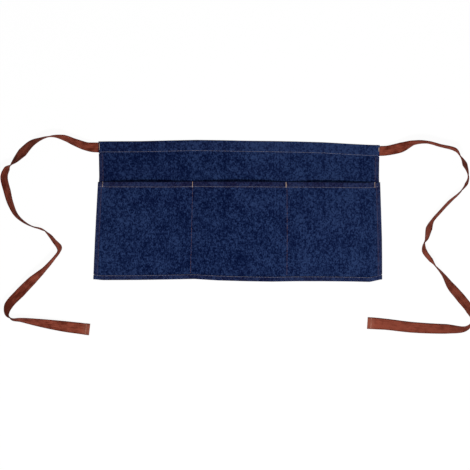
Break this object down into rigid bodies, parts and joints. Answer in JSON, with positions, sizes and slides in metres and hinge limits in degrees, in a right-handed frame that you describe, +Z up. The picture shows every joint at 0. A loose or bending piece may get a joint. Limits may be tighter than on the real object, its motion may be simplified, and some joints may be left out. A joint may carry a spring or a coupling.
{
  "type": "waist apron",
  "caption": "Short denim waist apron with a row of open front pockets, a folded waistband and flat tape ties, lying open on its back.",
  "frame": {"origin": "on the floor, at the middle of the back panel's flat underside", "axes": "+X along the waist to the wearer's left as the apron lies with its pockets up, +Y from the hem to the waist, +Z up from the floor"},
  "size_m": [1.0007, 0.4233, 0.025],
  "materials": {
    "denim": "dark indigo cotton denim, right side up, matt with a fine slanting twill",
    "folded_denim": "the same denim where it is folded and pressed, slightly worn along the folds",
    "tie_tape": "rust-brown woven cotton tape, matt, with fine lengthwise lines",
    "thread": "tan sewing thread"
  },
  "bodies": {
    "root": {"back_panel": "denim", "waistband": "folded_denim", "pocket_panel": "denim", "bottom_hem": "folded_denim", "tie_left": "tie_tape", "tie_right": "tie_tape"}
  },
  "joints": []
}
